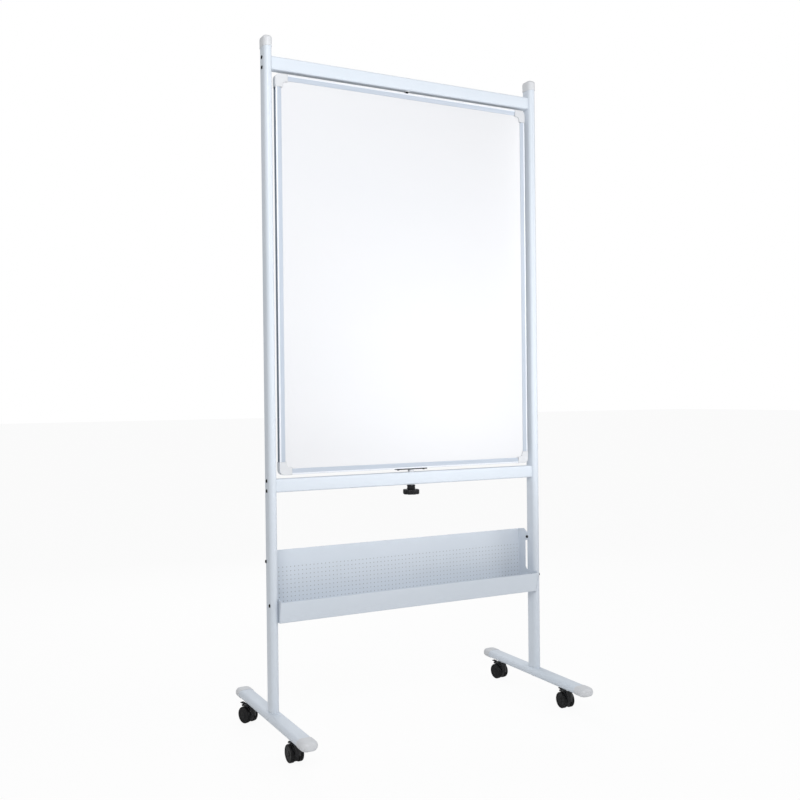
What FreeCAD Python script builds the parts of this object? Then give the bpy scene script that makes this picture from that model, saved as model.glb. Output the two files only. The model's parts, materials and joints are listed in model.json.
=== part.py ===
import FreeCAD, Part
import math
import os

# Rolling whiteboard, double-sided, on a stand with four casters.
# Millimetres. Origin: on the floor, under the middle of the stand. +Z up, +X to the right of
# someone who faces the board, and the board's front faces -Y.

V = FreeCAD.Vector
X_DIR, Y_DIR, Z_DIR = V(1, 0, 0), V(0, 1, 0), V(0, 0, 1)

# ---------------------------------------------------------------- driving dimensions

# flat-oval tube of the uprights and feet
TUBE_LONG = 50.0
TUBE_SHORT = 25.0
TUBE_WALL = 1.5
CAP_WALL = 1.5                 # how far a moulded cap stands out of its tube

# stand
UPRIGHT_X = 476.0
STAND_TOP = 2108.0
UPRIGHT_CAP_HEIGHT = 35.0
UPRIGHT_CAP_TOP_WALL = 12.0    # solid top of the cap, above the tube's end
UPRIGHT_CAP_ROUND = 8.5
UPRIGHT_CAP_ARCH_R = 62.0      # the top is arched from front to back
FOOT_LENGTH = 590.0
FOOT_BOTTOM = 66.4
FOOT_CAP_LENGTH = 46.0
FOOT_CAP_END_WALL = 21.0       # solid end of the cap, past the tube's end
FOOT_CAP_NOSE = 20.0           # depth of the rounded nose, seen from above
FOOT_CAP_ROUND = 8.0

# rails
RAIL_DEPTH = 30.0
RAIL_HEIGHT = 40.0
RAIL_ROUND = 5.0
RAIL_WALL = 1.5
TOP_RAIL_Z = 2028.0            # centre lines
LOWER_RAIL_Z = 768.0
RAIL_SCREW_PITCH = 30.0
RAIL_PLUG_LENGTH = 20.0

# screws
M5_R, M5_CLEAR_R = 2.5, 2.75
M5_HEAD_R, M5_HEAD_HEIGHT = 5.5, 2.6
M5_NUT_FLATS, M5_NUT_HEIGHT = 8.0, 4.0
M4_R, M4_HEAD_R, M4_HEAD_HEIGHT = 2.0, 3.8, 2.2
M8_R, M8_CLEAR_R = 4.0, 4.2
M8_HEAD_FLATS, M8_HEAD_HEIGHT = 13.0, 5.3

# board
BOARD_WIDTH = 900.0
BOARD_HEIGHT = 1200.0
BOARD_BOTTOM = 799.0
FRAME_FACE = 18.0              # width of the frame profile, seen from the front
FRAME_DEPTH = 20.0
FRAME_CHANNEL_DEPTH = 12.0     # depth of the slot that holds the panel's edge
FRAME_CHANNEL_HALF = 7.6
FRAME_RIM = 5.0                # flat rim along the outer side; the face slopes in from it
FRAME_LIP_HALF = 8.8           # half depth of the profile at its inner lip
FRAME_GROOVE_DEPTH = 4.5       # open groove in the profile's outer side
FRAME_GROOVE_HALF = 7.2
FRAME_EDGE_ROUND = 1.2
PANEL_GAP = 0.5
CORE_HALF = 7.0
SHEET_THICKNESS = 0.5
BARE_BORDER = 8.0              # strip of each sheet, next to the frame, with no enamel on it
ENAMEL = 0.1
CORNER_ARM = 40.0
CORNER_FACE = 23.0
CORNER_PROUD = 1.0
CORNER_ROUND = 15.0
CORNER_INNER_ROUND = 9.0

# pivot and clamp
PIN_R = 4.0
STUD_R = 5.0
RUNNING_GAP = 0.05
BUSH_WALL = 2.5
BUSH_FLANGE = 2.0
BUSH_DEPTH = 12.0
CLAMP_PLATE_LENGTH = 112.0
CLAMP_PLATE_THICKNESS = 3.0
PLATE_SCREW_X = 46.0
SPACER_R = 10.0
SLEEVE_R = 13.5
SLEEVE_LENGTH = 12.8
FACE_GAP = 0.2                 # between flat faces that turn on each other
KNOB_R = 27.0
KNOB_HEIGHT = 18.0
KNOB_LOBES = 8
KNOB_FLUTE_R = 6.5
KNOB_BOTTOM_WALL = 4.0
INSERT_R = 8.0

# tray, as (Y, Z) points of its outer side
TRAY_SHEET = 1.2
TRAY_BACK_TOP = (70.0, 563.0)
TRAY_BACK_FOOT = (62.5, 360.0)
TRAY_LIP_FOOT = (-30.0, 360.0)
TRAY_LIP_TOP = (-41.0, 423.0)
BEND_R = 3.0
BRACKET_THICKNESS = 1.5
TRAY_UPPER_SCREW = (14.0, 541.0)
TRAY_LOWER_SCREW = (-13.0, 413.0)

# casters
CASTER_Y = 192.0
WHEEL_R = 26.0
WHEEL_WIDTH = 14.0
WHEEL_EDGE_ROUND = 3.0
WHEEL_DISH = 1.5
WHEEL_HUB_R = 8.0
TRAIL = 22.0                   # from the swivel axis back to the axle
WEB_HALF = 5.4
WHEEL_INNER = 6.0
AXLE_R = 4.0
HOOD_INNER_R = 27.3
HOOD_OUTER_R = 31.5
HOOD_HALF = 13.5
HOOD_FROM, HOOD_TO = 62.0, 150.0     # degrees round the axle, from the rear over the top
BOSS_R = 10.5
BOSS_TOP = 60.5
SWIVEL_PIN_R = 3.5
SWIVEL_PIN_FOOT = 37.0
STEM_FLANGE_R = 9.0
SOCKET_R = 9.0
SOCKET_HEIGHT = 20.0
LEVER_PIVOT = (36.0, 53.3)
LEVER_POINTS = [(36.0, 54.6), (42.0, 57.6), (54.0, 57.9)]
LEVER_THICKNESS = 2.8
LEVER_HALF = 5.0
KNUCKLE_HALF = 8.0
KNUCKLE_R = 3.2
TRUNNION_R = 1.6
EAR_GAP = 0.4
EAR_WIDTH = 3.5
CAM_LENGTH = 4.5
BRAKE_TRAVEL = 20.0            # degrees from off to on

# caster name, stem X, stem Y, how far the caster is turned about its stem (degrees)
CASTERS = [
    ("left_front", -UPRIGHT_X, -CASTER_Y, 2.0),
    ("left_rear", -UPRIGHT_X, CASTER_Y, 20.0),
    ("right_front", UPRIGHT_X, -CASTER_Y, -2.0),
    ("right_rear", UPRIGHT_X, CASTER_Y, 8.0),
]

# ---------------------------------------------------------------- worked out

FOOT_TOP = FOOT_BOTTOM + TUBE_SHORT
FOOT_Z = FOOT_BOTTOM + TUBE_SHORT / 2
RAIL_END = UPRIGHT_X - TUBE_SHORT / 2
UPRIGHT_OUTSIDE = UPRIGHT_X + TUBE_SHORT / 2
UPRIGHT_TOP = STAND_TOP - UPRIGHT_CAP_TOP_WALL
FOOT_TUBE_HALF = FOOT_LENGTH / 2 - FOOT_CAP_END_WALL
BOARD_TOP = BOARD_BOTTOM + BOARD_HEIGHT
BOARD_HALF = BOARD_WIDTH / 2
BOARD_Z = (BOARD_BOTTOM + BOARD_TOP) / 2
PANEL_INSET = FRAME_FACE - FRAME_CHANNEL_DEPTH + PANEL_GAP
PANEL_HALF_X = BOARD_HALF - PANEL_INSET
PANEL_HALF_Z = BOARD_HEIGHT / 2 - PANEL_INSET
LOWER_RAIL_TOP = LOWER_RAIL_Z + RAIL_HEIGHT / 2
LOWER_RAIL_BOTTOM = LOWER_RAIL_Z - RAIL_HEIGHT / 2
TOP_RAIL_BOTTOM = TOP_RAIL_Z - RAIL_HEIGHT / 2
PLATE_BOTTOM = BOARD_BOTTOM - CLAMP_PLATE_THICKNESS
SLEEVE_TOP = LOWER_RAIL_BOTTOM - BUSH_FLANGE - FACE_GAP
KNOB_TOP = SLEEVE_TOP - SLEEVE_LENGTH
KNOB_BOTTOM = KNOB_TOP - KNOB_HEIGHT
STUD_BOTTOM = KNOB_BOTTOM + KNOB_BOTTOM_WALL + 1.0
BUSH_R = STUD_R + RUNNING_GAP + BUSH_WALL
SIDES = (("left", -1), ("right", 1))


# ---------------------------------------------------------------- helpers

def save(node, *solids):
    """Write one node: a single solid, or a group of separate solids."""
    shape = solids[0] if len(solids) == 1 else Part.makeCompound(list(solids))
    shape.exportStep("parts/" + node + ".step")


def block(x0, x1, y0, y1, z0, z1):
    return Part.makeBox(x1 - x0, y1 - y0, z1 - z0, V(x0, y0, z0))


def rod(radius, length, start, direction=Z_DIR):
    return Part.makeCylinder(radius, length, start, direction)


def ring(outer, inner, length, start, direction=Z_DIR):
    return rod(outer, length, start, direction).cut(rod(inner, length, start, direction))


def polygon(points):
    return Part.Face(Part.makePolygon(points + [points[0]]))


def mirrored_x(shape):
    return shape.mirror(V(0, 0, 0), X_DIR)


def edges_at(shape, test):
    """Edges whose middle point passes the test."""
    return [edge for edge in shape.Edges if test(edge.CenterOfMass)]


def flat_oval(long_side, short_side, height):
    """Upright bar of flat-oval section, long side along Y, standing on Z = 0."""
    r = short_side / 2
    h = long_side / 2 - r
    outline = Part.Wire([
        Part.LineSegment(V(r, -h, 0), V(r, h, 0)).toShape(),
        Part.Arc(V(r, h, 0), V(0, h + r, 0), V(-r, h, 0)).toShape(),
        Part.LineSegment(V(-r, h, 0), V(-r, -h, 0)).toShape(),
        Part.Arc(V(-r, -h, 0), V(0, -h - r, 0), V(r, -h, 0)).toShape(),
    ])
    return Part.Face(outline).extrude(V(0, 0, height))


def oval_tube(height):
    inner = flat_oval(TUBE_LONG - 2 * TUBE_WALL, TUBE_SHORT - 2 * TUBE_WALL, height)
    return flat_oval(TUBE_LONG, TUBE_SHORT, height).cut(inner)


def laid_along_y(shape, y):
    """Lay an upright bar down along +Y at height FOOT_Z, its long side along X."""
    flat = shape.copy()
    flat.rotate(V(0, 0, 0), Z_DIR, 90)
    flat.rotate(V(0, 0, 0), X_DIR, -90)
    flat.translate(V(0, y, FOOT_Z))
    return flat


def screw(head_r, head_height, shank_r, shank_length, seat, direction):
    """Round-headed screw. Its head's seat is at the given point; the shank runs along direction."""
    head = rod(head_r, head_height, seat - direction * head_height, direction)
    head = head.makeFillet(head_height * 0.45, edges_at(
        head, lambda c: (c - seat).dot(direction) < -head_height * 0.9))
    return head.fuse(rod(shank_r, shank_length, seat, direction))


def hexagon(flats, height, start, direction):
    radius = flats / math.sqrt(3)
    side = V(0, 1, 0) if abs(direction.y) < 0.5 else V(1, 0, 0)
    up = direction.cross(side)
    corners = []
    for k in range(6):
        angle = math.radians(60 * k)
        corners.append(start + side * (radius * math.cos(angle)) + up * (radius * math.sin(angle)))
    return polygon(corners).extrude(direction * height)


def sheet_section(points, thickness, x0, x1):
    """Folded sheet between x0 and x1. The (Y, Z) points lie on its outer side, and the sheet's
    thickness is laid to the left of the way they run."""
    offset = []
    for i, (y, z) in enumerate(points):
        normals = []
        for a, b in ((i - 1, i), (i, i + 1)):
            if a < 0 or b >= len(points):
                continue
            dy, dz = points[b][0] - points[a][0], points[b][1] - points[a][1]
            size = math.hypot(dy, dz)
            normals.append((-dz / size, dy / size))
        ny = sum(n[0] for n in normals)
        nz = sum(n[1] for n in normals)
        scale = thickness * len(normals) / (ny * ny + nz * nz)
        offset.append((y + ny * scale, z + nz * scale))
    outline = [V(x0, y, z) for y, z in points + offset[::-1]]
    return polygon(outline).extrude(V(x1 - x0, 0, 0)), offset


# ---------------------------------------------------------------- stand

def upright(side):
    tube = oval_tube(UPRIGHT_TOP - FOOT_TOP)
    tube.translate(V(side * UPRIGHT_X, 0, FOOT_TOP))
    holes = []
    for rail_z in (TOP_RAIL_Z, LOWER_RAIL_Z):
        for dz in (-RAIL_SCREW_PITCH / 2, RAIL_SCREW_PITCH / 2):
            holes.append((0, rail_z + dz))
    holes += [TRAY_UPPER_SCREW, TRAY_LOWER_SCREW]
    x0 = side * UPRIGHT_X - TUBE_SHORT
    drills = [rod(M5_CLEAR_R, 2 * TUBE_SHORT, V(x0, y, z), X_DIR) for y, z in holes]
    return tube.cut(drills)


def upright_cap(side):
    outer = flat_oval(TUBE_LONG + 2 * CAP_WALL, TUBE_SHORT + 2 * CAP_WALL, UPRIGHT_CAP_HEIGHT)
    outer = outer.common(rod(UPRIGHT_CAP_ARCH_R, 2 * TUBE_LONG, V(
        -TUBE_LONG, 0, UPRIGHT_CAP_HEIGHT - UPRIGHT_CAP_ARCH_R), X_DIR))
    top_edges = edges_at(outer, lambda c: c.z > UPRIGHT_CAP_HEIGHT - 10 and c.z > 15)
    outer = outer.makeFillet(UPRIGHT_CAP_ROUND, top_edges)
    pocket = flat_oval(TUBE_LONG, TUBE_SHORT, UPRIGHT_CAP_HEIGHT - UPRIGHT_CAP_TOP_WALL)
    cap = outer.cut(pocket)
    cap.translate(V(side * UPRIGHT_X, 0, STAND_TOP - UPRIGHT_CAP_HEIGHT))
    return cap


def rounded_bar(depth, height, radius, x0, x1, z):
    bar = block(x0, x1, -depth / 2, depth / 2, z - height / 2, z + height / 2)
    long_edges = edges_at(bar, lambda c: abs(c.x - (x0 + x1) / 2) < 0.1)
    corner_edges = [e for e in long_edges if abs(e.Length - (x1 - x0)) < 0.1]
    return bar.makeFillet(radius, corner_edges)


def rail(z):
    outer = rounded_bar(RAIL_DEPTH, RAIL_HEIGHT, RAIL_ROUND, -RAIL_END, RAIL_END, z)
    inner = rounded_bar(RAIL_DEPTH - 2 * RAIL_WALL, RAIL_HEIGHT - 2 * RAIL_WALL,
                        RAIL_ROUND - RAIL_WALL, -RAIL_END, RAIL_END, z)
    return outer.cut(inner)


def rail_end_plug(side, z):
    x_in = RAIL_END - RAIL_PLUG_LENGTH
    plug = rounded_bar(RAIL_DEPTH - 2 * RAIL_WALL, RAIL_HEIGHT - 2 * RAIL_WALL,
                       RAIL_ROUND - RAIL_WALL, x_in, RAIL_END, z)
    for dz in (-RAIL_SCREW_PITCH / 2, RAIL_SCREW_PITCH / 2):
        plug = plug.cut(rod(M5_R, RAIL_PLUG_LENGTH, V(x_in, 0, z + dz), X_DIR))
    return plug if side > 0 else mirrored_x(plug)


def rail_screws():
    screws = []
    length = TUBE_SHORT + RAIL_PLUG_LENGTH - 2
    for side in (-1, 1):
        for rail_z in (TOP_RAIL_Z, LOWER_RAIL_Z):
            for dz in (-RAIL_SCREW_PITCH / 2, RAIL_SCREW_PITCH / 2):
                seat = V(side * UPRIGHT_OUTSIDE, 0, rail_z + dz)
                screws.append(screw(M5_HEAD_R, M5_HEAD_HEIGHT, M5_R, length, seat, X_DIR * -side))
    return screws


def foot(side):
    tube = laid_along_y(oval_tube(2 * FOOT_TUBE_HALF), -FOOT_TUBE_HALF)
    drills = [rod(M8_CLEAR_R, 2 * TUBE_SHORT, V(0, 0, FOOT_BOTTOM - 1))]
    for y in (-CASTER_Y, CASTER_Y):
        drills.append(rod(M8_CLEAR_R, TUBE_SHORT / 2, V(0, y, FOOT_BOTTOM - 1)))
    tube = tube.cut(drills)
    tube.translate(V(side * UPRIGHT_X, 0, 0))
    return tube


def foot_cap(end):
    """Cap on the end of a foot at X = 0; end is -1 for the front and 1 for the rear."""
    half = TUBE_LONG / 2 + CAP_WALL
    start = FOOT_LENGTH / 2 - FOOT_CAP_LENGTH
    nose = FOOT_LENGTH / 2 - FOOT_CAP_NOSE
    body = laid_along_y(
        flat_oval(TUBE_LONG + 2 * CAP_WALL, TUBE_SHORT + 2 * CAP_WALL, FOOT_CAP_LENGTH), start)
    plan = Part.Wire([
        Part.LineSegment(V(-half, nose, 0), V(-half, start, 0)).toShape(),
        Part.LineSegment(V(-half, start, 0), V(half, start, 0)).toShape(),
        Part.LineSegment(V(half, start, 0), V(half, nose, 0)).toShape(),
        Part.Arc(V(half, nose, 0), V(0, FOOT_LENGTH / 2, 0), V(-half, nose, 0)).toShape(),
    ])
    body = body.common(Part.Face(plan).extrude(V(0, 0, 2 * FOOT_Z)))
    nose_edges = edges_at(body, lambda c: c.y > nose + 1 and abs(c.z - FOOT_Z) > 1)
    body = body.makeFillet(FOOT_CAP_ROUND, nose_edges)
    pocket = laid_along_y(
        flat_oval(TUBE_LONG, TUBE_SHORT, FOOT_TUBE_HALF - start), start)
    cap = body.cut(pocket)
    return cap if end > 0 else cap.mirror(V(0, 0, 0), Y_DIR)


def foot_caps():
    caps = []
    for side in (-1, 1):
        for end in (-1, 1):
            cap = foot_cap(end)
            cap.translate(V(side * UPRIGHT_X, 0, 0))
            caps.append(cap)
    return caps


def upright_base_plug(side):
    plug = flat_oval(TUBE_LONG - 2 * TUBE_WALL, TUBE_SHORT - 2 * TUBE_WALL, 30)
    plug = plug.cut(rod(M8_R, 30, V(0, 0, 0)))
    plug.translate(V(side * UPRIGHT_X, 0, FOOT_TOP))
    return plug


def foot_bolt(side):
    head = hexagon(M8_HEAD_FLATS, M8_HEAD_HEIGHT, V(0, 0, FOOT_BOTTOM - M8_HEAD_HEIGHT), Z_DIR)
    bolt = head.fuse(rod(M8_R, TUBE_SHORT + 25, V(0, 0, FOOT_BOTTOM)))
    bolt.translate(V(side * UPRIGHT_X, 0, 0))
    return bolt


# ---------------------------------------------------------------- tray

def tray_panel():
    half = RAIL_END - BRACKET_THICKNESS
    points = [TRAY_LIP_TOP, TRAY_LIP_FOOT, TRAY_BACK_FOOT, TRAY_BACK_TOP]
    tray, inside = sheet_section(points, TRAY_SHEET, -half, half)
    for bends, radius in ((points[1:3], BEND_R), (inside[1:3], BEND_R - TRAY_SHEET)):
        folds = edges_at(tray, lambda c: abs(c.x) < 0.1 and any(
            math.hypot(c.y - y, c.z - z) < 0.01 for y, z in bends))
        tray = tray.makeFillet(radius, folds)
    return tray


def tray_bracket():
    """End plate of the tray, on the inner side of the right upright."""
    upper_y, upper_z = TRAY_UPPER_SCREW
    leg_y, leg_z = 27.0, TRAY_LOWER_SCREW[1] + 16
    outline = [
        TRAY_LIP_FOOT, TRAY_BACK_FOOT, TRAY_BACK_TOP,
        (leg_y + 8, TRAY_BACK_TOP[1] + 5), (upper_y - 2, upper_z + 12),
        (upper_y - 9, upper_z + 6), (upper_y - 9, upper_z - 9), (leg_y, upper_z - 15),
        (leg_y, leg_z + 8), (leg_y - 8, leg_z), (TRAY_LIP_TOP[0] - 0.9, leg_z),
    ]
    plate = polygon([V(RAIL_END - BRACKET_THICKNESS, y, z) for y, z in outline])
    plate = plate.extrude(X_DIR * BRACKET_THICKNESS)
    drills = [rod(M5_CLEAR_R, TUBE_SHORT, V(RAIL_END - TUBE_SHORT / 2, y, z), X_DIR)
              for y, z in (TRAY_UPPER_SCREW, TRAY_LOWER_SCREW)]
    return plate.cut(drills)


def tray_fasteners():
    screws, nuts = [], []
    nut_seat = RAIL_END - BRACKET_THICKNESS
    length = TUBE_SHORT + BRACKET_THICKNESS + M5_NUT_HEIGHT + 1
    for side in (-1, 1):
        inward = X_DIR * -side
        for y, z in (TRAY_UPPER_SCREW, TRAY_LOWER_SCREW):
            seat = V(side * UPRIGHT_OUTSIDE, y, z)
            screws.append(screw(M5_HEAD_R, M5_HEAD_HEIGHT, M5_R, length, seat, inward))
            start = V(side * nut_seat, y, z)
            nut = hexagon(M5_NUT_FLATS, M5_NUT_HEIGHT, start, inward)
            nuts.append(nut.cut(rod(M5_R, M5_NUT_HEIGHT, start, inward)))
    return screws, nuts


# ---------------------------------------------------------------- board

def frame_member(length):
    """Frame profile along +Z from Z = 0, its outer side at X = 0 and the panel on the -X side."""
    half, inner = FRAME_DEPTH / 2, -FRAME_FACE
    channel = inner + FRAME_CHANNEL_DEPTH
    upper = [(inner, FRAME_CHANNEL_HALF), (inner, FRAME_LIP_HALF), (-FRAME_RIM, half), (0, half),
             (0, FRAME_GROOVE_HALF), (-FRAME_GROOVE_DEPTH, FRAME_GROOVE_HALF)]
    outline = upper + [(x, -y) for x, y in upper[::-1]]
    outline += [(channel, -FRAME_CHANNEL_HALF), (channel, FRAME_CHANNEL_HALF)]
    member = polygon([V(x, y, 0) for x, y in outline]).extrude(V(0, 0, length))
    outer_edges = edges_at(member, lambda c: abs(c.z - length / 2) < 0.1 and abs(c.x) < 0.1
                           and abs(abs(c.y) - half) < 0.01)
    return member.makeFillet(FRAME_EDGE_ROUND, outer_edges)


def side_member(side):
    inset = CORNER_ROUND + CORNER_PROUD
    member = frame_member(BOARD_HEIGHT - 2 * inset)
    member.translate(V(BOARD_HALF, 0, BOARD_BOTTOM + inset))
    return member if side > 0 else mirrored_x(member)


def level_member(top):
    """Top or bottom member, between the side members."""
    half = BOARD_HALF - FRAME_FACE
    member = frame_member(2 * half)
    member.rotate(V(0, 0, 0), Y_DIR, -90 if top else 90)
    if top:
        member.translate(V(half, 0, BOARD_TOP))
        return member.cut(rod(PIN_R, FRAME_FACE, V(0, 0, BOARD_TOP - FRAME_FACE)))
    member.translate(V(-half, 0, BOARD_BOTTOM))
    drills = [rod(M4_R, FRAME_FACE, V(x, 0, BOARD_BOTTOM)) for x in (-PLATE_SCREW_X, PLATE_SCREW_X)]
    return member.cut(drills)


def frame_corner():
    """Moulded corner over the upper right corner of the board, about the board's centre."""
    x, z = BOARD_HALF + CORNER_PROUD, BOARD_HEIGHT / 2 + CORNER_PROUD
    y = FRAME_DEPTH / 2 + CORNER_PROUD
    outline = [(x - CORNER_ARM, z), (x, z), (x, z - CORNER_ARM),
               (x - CORNER_FACE, z - CORNER_ARM), (x - CORNER_FACE, z - CORNER_FACE),
               (x - CORNER_ARM, z - CORNER_FACE)]
    piece = polygon([V(px, -y, pz) for px, pz in outline]).extrude(Y_DIR * 2 * y)
    outer_edge = edges_at(piece, lambda c: math.hypot(c.x - x, c.z - z) < 0.1)
    piece = piece.makeFillet(CORNER_ROUND, outer_edge)
    inner_edge = edges_at(piece, lambda c: math.hypot(
        c.x - x + CORNER_FACE, c.z - z + CORNER_FACE) < 0.1)
    piece = piece.makeFillet(CORNER_INNER_ROUND, inner_edge)
    half_x, half_z, half_y = BOARD_HALF, BOARD_HEIGHT / 2, FRAME_DEPTH / 2
    side_end = half_z - CORNER_ROUND - CORNER_PROUD
    pocket_x = half_x - FRAME_FACE + FRAME_CHANNEL_DEPTH
    pocket_z = half_z - FRAME_FACE + FRAME_CHANNEL_DEPTH
    side_space = block(half_x - FRAME_FACE, half_x, -half_y, half_y, 0, side_end)
    level_space = block(0, half_x - FRAME_FACE, -half_y, half_y, half_z - FRAME_FACE, half_z)
    panel_space = block(0, pocket_x, -FRAME_CHANNEL_HALF, FRAME_CHANNEL_HALF, 0, pocket_z)
    return piece.cut([side_space, level_space, panel_space])


def frame_corners():
    corner = frame_corner()
    corners = []
    for flip_x in (False, True):
        for flip_z in (False, True):
            piece = mirrored_x(corner) if flip_x else corner.copy()
            if flip_z:
                piece = piece.mirror(V(0, 0, 0), Z_DIR)
            piece.translate(V(0, 0, BOARD_Z))
            corners.append(piece)
    return corners


def panel_layer(y0, y1):
    return block(-PANEL_HALF_X, PANEL_HALF_X, y0, y1, BOARD_Z - PANEL_HALF_Z, BOARD_Z + PANEL_HALF_Z)


def writing_sheet(side):
    """Steel sheet on the core, with the enamelled writing area standing just proud of it."""
    inset = FRAME_FACE + BARE_BORDER
    half_x, half_z = BOARD_HALF - inset, BOARD_HEIGHT / 2 - inset
    y0, y1, y2 = CORE_HALF, CORE_HALF + SHEET_THICKNESS, CORE_HALF + SHEET_THICKNESS + ENAMEL
    sheet = panel_layer(y0, y1).fuse(block(
        -half_x, half_x, y0, y2, BOARD_Z - half_z, BOARD_Z + half_z)).removeSplitter()
    return sheet if side > 0 else sheet.mirror(V(0, 0, 0), Y_DIR)


# ---------------------------------------------------------------- pivot and clamp

def bush(bore_r, outer_r, flange_r, wall_face, direction):
    """Flanged bush: the flange lies on the wall's outer face and the sleeve runs through it."""
    start = V(0, 0, wall_face) - direction * BUSH_FLANGE
    body = rod(flange_r, BUSH_FLANGE, start, direction)
    body = body.fuse(rod(outer_r, BUSH_DEPTH, V(0, 0, wall_face), direction))
    return body.cut(rod(bore_r, BUSH_FLANGE + BUSH_DEPTH, start, direction))


def pivot_bushes():
    stud_bore = STUD_R + RUNNING_GAP
    pin_bore = PIN_R + RUNNING_GAP
    return [
        bush(pin_bore, BUSH_R, BUSH_R + 2, TOP_RAIL_BOTTOM, Z_DIR),
        bush(stud_bore, BUSH_R, SPACER_R - 1, LOWER_RAIL_TOP, -Z_DIR),
        bush(stud_bore, BUSH_R, SPACER_R - 1, LOWER_RAIL_BOTTOM, Z_DIR),
    ]


def top_pivot_pin():
    """Pin screwed into the top member; its collar sits on the floor of the member's groove."""
    pin = rod(PIN_R, 40, V(0, 0, BOARD_TOP - FRAME_FACE + FRAME_CHANNEL_DEPTH))
    groove_floor = V(0, 0, BOARD_TOP - FRAME_GROOVE_DEPTH)
    return pin.fuse(rod(PIN_R + 2.5, FRAME_GROOVE_DEPTH + 0.5, groove_floor))


def clamp_plate():
    half = CLAMP_PLATE_LENGTH / 2
    plate = block(-half, half, -FRAME_DEPTH / 2, FRAME_DEPTH / 2, PLATE_BOTTOM, BOARD_BOTTOM)
    corners = edges_at(plate, lambda c: abs(c.z - (PLATE_BOTTOM + BOARD_BOTTOM) / 2) < 0.1
                       and abs(c.x) > half - 0.1 and abs(c.y) > 1)
    plate = plate.makeFillet(4, corners)
    drills = [rod(STUD_R, CLAMP_PLATE_THICKNESS, V(0, 0, PLATE_BOTTOM))]
    for x in (-PLATE_SCREW_X, PLATE_SCREW_X):
        drills.append(rod(M4_R, CLAMP_PLATE_THICKNESS, V(x, 0, PLATE_BOTTOM)))
    return plate.cut(drills)


def clamp_sleeve():
    sleeve = ring(SLEEVE_R, STUD_R + 0.3, SLEEVE_LENGTH, V(0, 0, KNOB_TOP))
    rims = edges_at(sleeve, lambda c: abs(c.z - KNOB_TOP) < 0.1 or abs(c.z - SLEEVE_TOP) < 0.1)
    return sleeve.makeChamfer(1.0, [e for e in rims if e.Length > 2 * math.pi * (SLEEVE_R - 1)])


def clamp_knob():
    flute_at = KNOB_R + 0.42 * KNOB_FLUTE_R
    wheel = rod(KNOB_R, KNOB_HEIGHT, V(0, 0, KNOB_BOTTOM))
    wheel = wheel.makeFillet(3.0, edges_at(wheel, lambda c: abs(c.x) < 0.1))
    flutes = []
    for k in range(KNOB_LOBES):
        angle = 2 * math.pi * (k + 0.5) / KNOB_LOBES
        centre = V(flute_at * math.cos(angle), flute_at * math.sin(angle), KNOB_BOTTOM)
        flutes.append(rod(KNOB_FLUTE_R, KNOB_HEIGHT, centre))
    socket = rod(INSERT_R, KNOB_HEIGHT, V(0, 0, KNOB_BOTTOM + KNOB_BOTTOM_WALL))
    return wheel.cut(flutes + [socket])


def knob_insert():
    return ring(INSERT_R, STUD_R + RUNNING_GAP, KNOB_HEIGHT - KNOB_BOTTOM_WALL,
                V(0, 0, KNOB_BOTTOM + KNOB_BOTTOM_WALL))


# ---------------------------------------------------------------- casters
# Built with the swivel axis on Z at the origin, the axle along X, and the rear at +Y.

def across(radius, x0, x1, y=TRAIL, z=WHEEL_R):
    """Round bar along X, on the axle's line unless told otherwise."""
    return rod(radius, x1 - x0, V(x0, y, z), X_DIR)


def sector(radius, half_width, start_deg, end_deg):
    """Slice of a round bar about the axle, between two angles up from the rear."""
    points = [V(-half_width, TRAIL, WHEEL_R)]
    steps = 6
    for k in range(steps + 1):
        angle = math.radians(start_deg + (end_deg - start_deg) * k / steps)
        points.append(points[0] + V(0, math.cos(angle), math.sin(angle)) * radius * 1.3)
    wedge = polygon(points).extrude(X_DIR * 2 * half_width)
    return across(radius, -half_width, half_width).common(wedge)


def hood():
    body = sector(HOOD_OUTER_R, HOOD_HALF, HOOD_FROM, HOOD_TO)
    boss = rod(BOSS_R, BOSS_TOP - WHEEL_R, V(0, 0, WHEEL_R))
    boss = boss.common(block(-BOSS_R, BOSS_R, -BOSS_R, BOSS_R, WHEEL_R, BOSS_TOP))
    ear_y, ear_z = LEVER_PIVOT
    ears_half = KNUCKLE_HALF + EAR_GAP + EAR_WIDTH
    ears = across(KNUCKLE_R, -ears_half, ears_half, ear_y, ear_z)
    body = body.fuse([boss, ears])
    for side in (-1, 1):
        inner, outer = sorted((side * WEB_HALF, side * (HOOD_HALF + 1)))
        body = body.cut(across(HOOD_INNER_R, inner, outer))
    body = body.fuse(across(HOOD_INNER_R - 3.5, -WEB_HALF, WEB_HALF))
    slot_half = KNUCKLE_HALF + EAR_GAP
    pin_gap = TRUNNION_R + RUNNING_GAP
    return body.cut([
        across(AXLE_R, -WEB_HALF, WEB_HALF),
        rod(SWIVEL_PIN_R + RUNNING_GAP, BOSS_TOP, V(0, 0, SWIVEL_PIN_FOOT - 1)),
        across(CAM_LENGTH + 0.8, -slot_half, slot_half, ear_y, ear_z),
        across(pin_gap, -ears_half, ears_half, ear_y, ear_z),
    ])


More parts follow.
